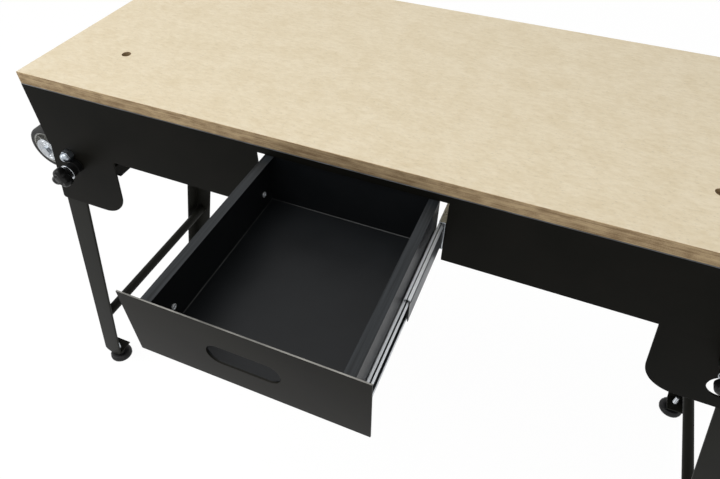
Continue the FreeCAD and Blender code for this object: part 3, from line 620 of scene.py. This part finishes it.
def hex_head(flats, height):
    """A bolt's head from height 0, chamfered on its outer face."""
    def profile(angle):
        side, end_face, drop = hexagon(angle, flats)
        return [(pole, 0.0), (side, 0.0), (side, height - drop), (end_face, height), (pole, height)]

    return ring_solid(profile, hex_steps)


m10_nut = hex_nut(m10_flats, 8.0, m10_bore)
print("nut vertices", len(m10_nut.vertices))

# %% [markdown]
# ## The four corners
# The bench repeats the same hardware at four corners. Mirrored copies would be quick, but they would turn
# right handed threads into left handed ones. So each corner is a name with two flips, to the right end and to
# the back, and only places and directions are flipped.

# %% Corner helper
frame_depth = 405.0
corners = {"front_left": (False, False), "rear_left": (False, True),
           "front_right": (True, False), "rear_right": (True, True)}


def at_corner(name, x, y, z):
    """A front left place, carried to another corner."""
    to_right, to_back = corners[name]
    return place(bench_length - x if to_right else x, frame_depth - y if to_back else y, z)


def outward(name):
    """The direction out of the front or the back at a corner."""
    return Vector((0, 1 if corners[name][1] else -1, 0))


print("corners", list(corners))

# %% [markdown]
# ## Stop bolts and cap nuts
# Beside each knob a bright cap nut holds the bolt that stops the leg. The bolt's head is behind the leg. Four
# objects with one shared mesh would do, but all four bolts are one node of the model, so they are joined.

# %% Stop bolts and cap nuts
stop_x, stop_z = 34.0, -134.0
ear_face_y, stop_head_y = 2.0, 8.6
stop_head, stop_shank = hex_head(m10_flats, 6.4), m10_stud(14.4)
cap_nut = hex_nut(m10_flats, 10.0, m10_bore, dome=7.3)
bolts, caps = [], []
for name in corners:
    head_seat = at_corner(name, stop_x, stop_head_y, stop_z)
    bolts += [(stop_head, facing(head_seat, -outward(name))), (stop_shank, facing(head_seat, outward(name)))]
    caps.append((cap_nut, facing(at_corner(name, stop_x, ear_face_y, stop_z), outward(name))))
joined("stop_bolts_threaded", bolts, zinc, "stop_bolts")
joined("stop_cap_nuts_domed", caps, nickel, "stop_cap_nuts")
print("bolts", len(bolts) // 2, "cap nuts", len(caps))

# %% [markdown]
# ## Clamping knobs
# A knob is a three lobed nylon grip, moulded round a threaded stud that is also the leg's pivot. A round
# spacer holds it off the ear, and a bright collar on the stud presses the spacer when the knob is turned.
# Sculpting or subdividing a cube would give soft lobes too, but a moulded grip is regular: its radius swells
# three times round the turn, and its face is dished round a small centre boss.

# %% Clamping knobs and studs
knob_x, knob_z = 40.0, -154.0
knob_radius, lobe_swell, lobe_count = 14.0, 3.2, 3
stud_end_y = -36.0


def knob_profile(angle):
    """From the neck out over the back rim and across the face, heights from the ear outward."""
    lobe = knob_radius + lobe_swell * math.cos(lobe_count * angle)
    outside = [(m10_bore, 22.0), (9.2, 22.0), (9.8, 22.5), (9.9, 26.6), (lobe - 4.2, 27.0),
               (lobe - 1.9, 27.4), (lobe - 0.5, 28.6), (lobe, 30.4), (lobe, 37.8), (lobe - 0.5, 40.1),
               (lobe - 1.9, 42.0), (lobe - 4.4, 42.9)]
    face = [(lobe - 5.6, 42.9), (min(lobe - 6.6, 8.2), 41.9), (6.6, 41.5), (6.2, 42.3), (5.4, 42.6),
            (pole, 42.7)]
    return outside + face


def spacer_profile(angle):
    """A plain round spacer with eased ends and a shallow groove round its middle."""
    return [(m10_bore, 0.3), (10.6, 0.3), (11.3, 1.0), (11.3, 9.6), (10.9, 10.0), (10.9, 10.8),
            (11.3, 11.2), (11.3, 19.6), (10.6, 20.3), (m10_bore, 20.3)]


def collar_profile(angle):
    """The collar that is rolled on the stud."""
    return [(m10_radius, 20.3), (12.0, 20.3), (12.5, 20.7), (12.5, 21.5), (12.0, 21.9), (m10_radius, 21.9)]


knob_mesh = ring_solid(knob_profile, 144)
spacer_mesh = ring_solid(spacer_profile, 72, closed=True)
collar_mesh = ring_solid(collar_profile, 72, closed=True)
pivot_stud = m10_stud(54.5, plain=44.0)
quarter = Matrix.Rotation(math.radians(90), 4, "Z")
for name in corners:
    seat = facing(at_corner(name, knob_x, ear_face_y, knob_z), outward(name)) @ quarter
    start = facing(at_corner(name, knob_x, stud_end_y, knob_z), -outward(name))
    joined("knob_" + name + "_moulded", [(knob_mesh, seat), (spacer_mesh, seat)], nylon, "knob_" + name)
    joined("knob_stud_" + name + "_threaded", [(pivot_stud, start), (collar_mesh, seat)], zinc,
           "knob_stud_" + name)
print("knob vertices", len(knob_mesh.vertices))

# %% [markdown]
# ## Feet
# Each leg ends in a foot plate with a welded nut. A nylon pad turns on a threaded stud in that nut, so the
# bench can be levelled. The pad has a chamfered skirt with eight finger notches round a small hub. The
# notches could be cut with eight cylinders, but a radius that dips eight times gives them without a boolean.

# %% Feet and weld nuts
bench_height = 810.0
foot_x, foot_y = -124.49, 19.5
foot_stud_z, foot_nut_z, pivot_nut_y = -795.0, -793.0, 8.3
notch_depth, notch_count = 0.8, 8
upright = (0, 0, 1)


def pad_profile(angle):
    """The pad's skirt with shallow notches, its shoulder and its hub."""
    notch = notch_depth * max(0.0, math.cos(notch_count * angle)) ** 6
    return [(pole, 0.0), (23.6, 0.0), (24.4, 0.3), (25.0 - notch, 1.2), (25.0 - notch, 6.2),
            (24.3 - notch, 7.2), (20.6, 11.4), (19.6, 11.9), (12.5, 11.2), (10.4, 11.4), (9.8, 12.4),
            (9.1, 15.0), (8.6, 15.5), (m10_bore, 15.5), (m10_bore, 14.0), (pole, 14.0)]


pad_mesh, foot_stud = ring_solid(pad_profile, 96), m10_stud(33.0)
for name in corners:
    joined("foot_pad_" + name + "_moulded",
           [(pad_mesh, facing(at_corner(name, foot_x, foot_y, -bench_height), upright))],
           foot_nylon, "foot_pad_" + name)
    joined("foot_stud_" + name + "_threaded",
           [(foot_stud, facing(at_corner(name, foot_x, foot_y, foot_stud_z), upright))],
           zinc, "foot_stud_" + name)
for side in ("left", "right"):
    nuts = []
    for name in (n for n in corners if n.endswith(side)):
        nuts.append((m10_nut, facing(at_corner(name, knob_x, pivot_nut_y, knob_z), -outward(name))))
        nuts.append((m10_nut, facing(at_corner(name, foot_x, foot_y, foot_nut_z), upright)))
    joined(side + "_weld_nuts_chamfered", nuts, zinc, side + "_weld_nuts")
print("pad vertices", len(pad_mesh.vertices))

# %% [markdown]
# ## Wheels
# Two solid wheels stick out at the left end. Each has a grey polypropylene core with five ribs and a rubber
# tyre with rounded shoulders and three shallow grooves, held on a zinc plated arm by a bolt with a broad,
# ridged washer. A torus would be a quick tyre, but its section would be round, so the section is drawn and
# turned. The core's ribs are in the construction piece, which only needs eased edges.

# %% Tyre and washer sections
axle_radius, axle_bore, axle_flats = 4.0, 4.05, 13.0


def tyre_profile(angle):
    """The tyre's section: bore, side walls, shoulders and a grooved tread, heights across the tread."""
    side = [(29.5, -12.5), (31.5, -12.5), (32.2, -12.2), (33.5, -12.5), (35.2, -11.8), (36.7, -10.4),
            (37.4, -8.6)]
    tread = []
    for groove in (-5.6, 0.0, 5.6):
        tread += [(37.5, groove - 1.0), (36.8, groove - 0.6), (36.8, groove + 0.6), (37.5, groove + 1.0)]
    return side + tread + [(r, -h) for r, h in reversed(side)]


def washer_profile(angle):
    """The axle's washer: flat, with two pressed ridges and eased rims, heights away from the wheel."""
    rim = [(axle_bore, -2.5), (19.6, -2.5), (20.0, -2.1), (20.0, -0.4), (19.6, 0.0)]
    ridges = [(17.6, 0.0), (16.9, 0.9), (15.3, 0.9), (14.6, 0.0), (12.9, 0.0), (12.2, 0.9), (10.6, 0.9),
              (9.9, 0.0)]
    return rim + ridges + [(axle_bore, 0.0)]


tyre_mesh = ring_solid(tyre_profile, 96, closed=True)
washer_mesh = ring_solid(washer_profile, 64, closed=True)
print("tyre vertices", len(tyre_mesh.vertices), "washer vertices", len(washer_mesh.vertices))

# %% Wheels and axle bolts
wheel_x, wheel_z = -38.0, -159.5
wheel_y, axle_head_y, axle_nut_y = 34.5, 18.0, 51.0
core_edge = 0.5
axle_head, axle_nut = hex_head(axle_flats, 5.3), hex_nut(axle_flats, 6.5, axle_bore)
axle_shank = threaded(axle_radius, 41.0, 1.25, 0.5, plain=32.0)
axle_parts = []
for end in ("front", "rear"):
    middle, head_seat, nut_seat = (at_corner(end + "_left", wheel_x, y, wheel_z)
                                   for y in (wheel_y, axle_head_y, axle_nut_y))
    out = outward(end + "_left")
    joined("wheel_tyre_" + end + "_grooved", [(tyre_mesh, facing(middle, (0, 1, 0)))], rubber,
           "wheel_tyre_" + end)
    eased("wheel_core_" + end, core_edge)
    axle_parts += [(washer_mesh, facing(head_seat, out)), (axle_head, facing(head_seat, out)),
                   (axle_shank, facing(head_seat, -out)), (axle_nut, facing(nut_seat, -out))]
joined("wheel_axle_bolts_threaded", axle_parts, zinc, "wheel_axle_bolts")
print("axle bolts", len(axle_parts) // 4)

# %% [markdown]
# ## Screws
# Round headed screws fix the drawer's sides to the slides, and larger ones come up through the frame's
# flanges into the board. Both have a cross recess. A bump texture could fake the recess, but it catches the
# light in the drawer, so it is cut by lowering the rings of the head that lie inside the cross.

# %% Screws
slide_reach, slide_height = 125.4, -83.0


def cross_head(radius, height, recess):
    """A low round screw head from height 0, with a cross recess."""
    def profile(angle):
        points = [(pole, 0.0), (radius, 0.0)]
        for step in range(13):
            r = max(pole, radius * (1 - step / 12))
            crown = height * math.sqrt(max(0.0, 1 - (r / radius) ** 2) * 0.75 + 0.25)
            across = min(abs(r * math.cos(angle)), abs(r * math.sin(angle)))
            cut = recess if across < radius * 0.13 and r < radius * 0.62 else 0.0
            points.append((r, crown - cut))
        return points

    return ring_solid(profile, 64)


def slide_x(inward, side):
    """How far right a place lies that is so far inward from the outer web of the left or right slide."""
    to_middle = slide_reach - inward
    return drawer_middle - to_middle if side == "left" else drawer_middle + to_middle


wall_inward, side_screw_ys = 12.2, (-214.86, -15.66)
board_screw_xs, board_screw_inset, flange_z = (61.2, 326.4, 693.6, 958.8), 14.0, -20.0
side_head, side_shank = cross_head(4.0, 1.8, 1.1), threaded(2.0, 5.0, 0.7, 0.3)
board_head, board_shank = cross_head(4.5, 2.4, 1.4), threaded(2.25, 14.0, 1.6, 0.5)
side_screws, board_screws = [], []
for y in side_screw_ys:
    for side, inward in (("left", Vector((1, 0, 0))), ("right", Vector((-1, 0, 0)))):
        seat = place(slide_x(wall_inward, side), y, slide_height)
        side_screws += [(side_head, facing(seat, inward)), (side_shank, facing(seat, -inward))]
for x in board_screw_xs:
    for y in (board_screw_inset, frame_depth - board_screw_inset):
        seat = place(x, y, flange_z)
        board_screws += [(board_head, facing(seat, (0, 0, -1))), (board_shank, facing(seat, upright))]
joined("drawer_screws_recessed", side_screws, slide_zinc, "drawer_screws")
joined("worktop_screws_recessed", board_screws, zinc, "worktop_screws")
print("drawer screws", len(side_screws) // 2, "board screws", len(board_screws) // 2)

# %% [markdown]
# ## Slide members
# The drawer's slides are three nested strips of zinc plated steel, rolled to channels. The rolling leaves a
# groove along each lip. The grooves and the webs under the lips take painted shade, darker copies of the zinc,
# and the lips stay bright between them: these draw the fine bright and dark lines that run along an open slide.
# A curve with a bevel object could sweep them, but a swept row of points lets each band of the profile have
# its own finish. A modifier gives the sheet's thickness. The outer member is behind the apron and is only
# eased.

# %% Rolled slide members
# Bands of a profile: brushed zinc on the lips, painted shade on the webs, deeper painted shade in the grooves
# and under the lips.
slide_finishes = (slide_zinc, painted_shade_zinc, painted_deep_shade_zinc)
bright, shaded, dark = range(3)
slide_sheet = 1.2


def rolled(node, half, bands, ends, side):
    """Sweeps a half profile, mirrored top to bottom: points are (distance from the outer web, height)."""
    whole = half + [(u, -v) for u, v in reversed(half[:-1])]
    work = bmesh.new()
    rows = [[work.verts.new(place(slide_x(u, side), y, slide_height + v)) for u, v in whole] for y in ends]
    for index, band in enumerate(bands + bands[::-1]):
        face = work.faces.new((rows[0][index], rows[0][index + 1], rows[1][index + 1], rows[1][index]))
        face.material_index = band
    bmesh.ops.recalc_face_normals(work, faces=work.faces)
    mesh = finished_mesh(node + "_rolled", work)
    for material in slide_finishes:
        mesh.materials.append(material)
    piece = in_scene(node + "_rolled", mesh)
    sheet = piece.modifiers.new("sheet", "SOLIDIFY")
    sheet.thickness = slide_sheet * mm
    sheet.offset = 0.0
    sheet.use_even_offset = True
    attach(piece, body_of_node[node])
    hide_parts(node)


middle_half = [(9.1, 15.9), (6.8, 15.9), (6.4, 15.2), (5.4, 15.2), (5.0, 15.9), (4.0, 15.9), (3.0, 15.2),
               (2.75, 13.6), (2.1, 13.0), (2.1, 0.0)]
middle_bands = [bright, dark, dark, dark, bright, bright, bright, dark, shaded]
inner_half = [(3.6, 11.2), (3.8, 11.9), (4.9, 11.9), (5.4, 10.9), (6.9, 10.9), (7.4, 11.9), (9.6, 11.9),
              (10.4, 11.2), (10.4, 0.0)]
inner_bands = [bright, bright, dark, dark, dark, bright, bright, dark]
middle_ends, inner_ends = (-121.35, 128.65), (-254.7, -5.7)
for side in ("left", "right"):
    rolled("slide_middle_" + side, middle_half, middle_bands, middle_ends, side)
    rolled("slide_inner_" + side, inner_half, inner_bands, inner_ends, side)
print("points in the half profiles", len(middle_half), len(inner_half))

# %% [markdown]
# ## Balls in the slides
# The members run on rows of steel balls held in pressed cages. They show between the members while the
# drawer is open. Particles or an array could repeat the ball, but a row is short: each one is a thin strip
# with a ball every few millimetres, and all rows of a slide are joined into one piece.

# %% Slide balls and cages
cage_half_width, cage_half_height, cage_overhang, cage_edge = 0.9, 0.3, 4.0, 0.12


def ball(radius):
    """A ball from rings of points, poles on its axis."""
    return ring_solid(lambda angle: [(max(pole, radius * math.sin(math.radians(a))),
                                      -radius * math.cos(math.radians(a))) for a in range(0, 181, 20)], 16)


def cage(x, y0, y1, z):
    """A thin sheet strip along a row of balls, with eased edges, in bench millimetres."""
    low = place(x - cage_half_width, y0 - cage_overhang, z - cage_half_height)
    high = place(x + cage_half_width, y1 + cage_overhang, z + cage_half_height)
    work = bmesh.new()
    bmesh.ops.create_cube(work, size=1.0, matrix=Matrix.Translation((low + high) / 2)
                          @ Matrix.Diagonal(tuple(high - low) + (1.0,)))
    bmesh.ops.bevel(work, geom=work.edges, offset=cage_edge * mm, segments=1, affect="EDGES")
    return finished_mesh("cage", work)


# Each row: its ball, how far it is in from the web and off the middle, its first Y, its count and its step.
ball_rows = ((ball(2.2), 5.0, 18.9, 8.0, 13, 9.0), (ball(1.25), 6.6, 13.9, -114.0, 14, 8.0))
for side in ("left", "right"):
    parts = []
    for sign in (1, -1):
        for mesh, inward, off_middle, first_y, count, step in ball_rows:
            x, z = slide_x(inward, side), slide_height + sign * off_middle
            parts += [(mesh, Matrix.Translation(place(x, first_y + step * index, z))) for index in range(count)]
            parts.append((cage(x, first_y, first_y + step * (count - 1), z), Matrix.Identity(4)))
    joined("slide_ball_rows_" + side, parts, zinc, body="slide_middle_" + side)
print("balls and cages on each slide", len(parts))

# %% [markdown]
# ## Floor and light
# The bench stands in a white product studio. More lamps would turn a floor white, but they would bleach the
# bench too. So the floor and the world look white to camera, mirror and glass rays, at a strength of about
# 1, while the lamps stay at a level where a colour shows as it was written. The floor keeps a small share of
# its own shading, which holds the bench's soft shadow. One large soft box hangs over the front, a second
# fills from the left, a weak third lifts the front, and the world gives the rest.

# %% Floor
floor_reach, floor_drop = 14.0, 0.2
white_share, white_strength = 0.93, 1.03


def background_rays(tree):
    """1 for the rays that show a background as it is: from the camera, off a mirror or through glass."""
    rays = add(tree, "LightPath").outputs
    seen = add(tree, "Math", {0: rays["Is Camera Ray"], 1: rays["Is Glossy Ray"]}, operation="MAXIMUM")
    seen = add(tree, "Math", {0: seen.outputs[0], 1: rays["Is Transmission Ray"]}, operation="MAXIMUM")
    return seen.outputs[0]


floor_corners = [(x * floor_reach, y * floor_reach, 0) for x, y in ((-1, -1), (1, -1), (1, 1), (-1, 1))]
floor_mesh = bpy.data.meshes.new("floor")
floor_mesh.from_pydata(floor_corners, [], [(0, 1, 2, 3)])
floor = in_scene("floor", floor_mesh)
floor.location.z = -floor_drop * mm
floor_finish, tree, shader = finish("white_studio_floor", Roughness=0.9)
shader.inputs["Base Color"].default_value = linear("#F4F4F2")
share = add(tree, "Math", {0: background_rays(tree), 1: white_share}, operation="MULTIPLY")
white = add(tree, "Emission", {"Color": (1, 1, 1, 1), "Strength": white_strength})
blend = add(tree, "MixShader", {0: share.outputs[0], 1: shader.outputs[0], 2: white.outputs[0]})
tree.links.new(blend.outputs[0], tree.nodes["Material Output"].inputs["Surface"])
floor_mesh.materials.append(floor_finish)
print("floor", 2 * floor_reach, "m wide")

# %% World and lamps
world_light = 0.42
lamp_target = Vector((0, 0, 0.5))
world = bpy.data.worlds.new("studio")
bpy.context.scene.world = world
world.use_nodes = True
tree = world.node_tree
strength = add(tree, "MapRange", {"Value": background_rays(tree), "To Min": world_light, "To Max": 1.0})
tree.nodes["Background"].inputs["Color"].default_value = (1, 1, 1, 1)
tree.links.new(strength.outputs["Result"], tree.nodes["Background"].inputs["Strength"])


def soft_box(name, at, size, watts):
    """A square lamp that looks at the middle of the bench."""
    lamp = bpy.data.lights.new(name, "AREA")
    lamp.shape = "SQUARE"
    lamp.size = size
    lamp.energy = watts
    in_scene(name, lamp).matrix_world = facing(Vector(at), Vector(at) - lamp_target)


soft_box("overhead_box", (-0.6, -0.5, 3.2), 2.4, 44)
soft_box("left_fill", (-2.8, -1.6, 1.8), 1.6, 25)
soft_box("front_fill", (1.4, -3.0, 1.6), 1.8, 4)
bpy.context.scene.view_settings.view_transform = "Standard"
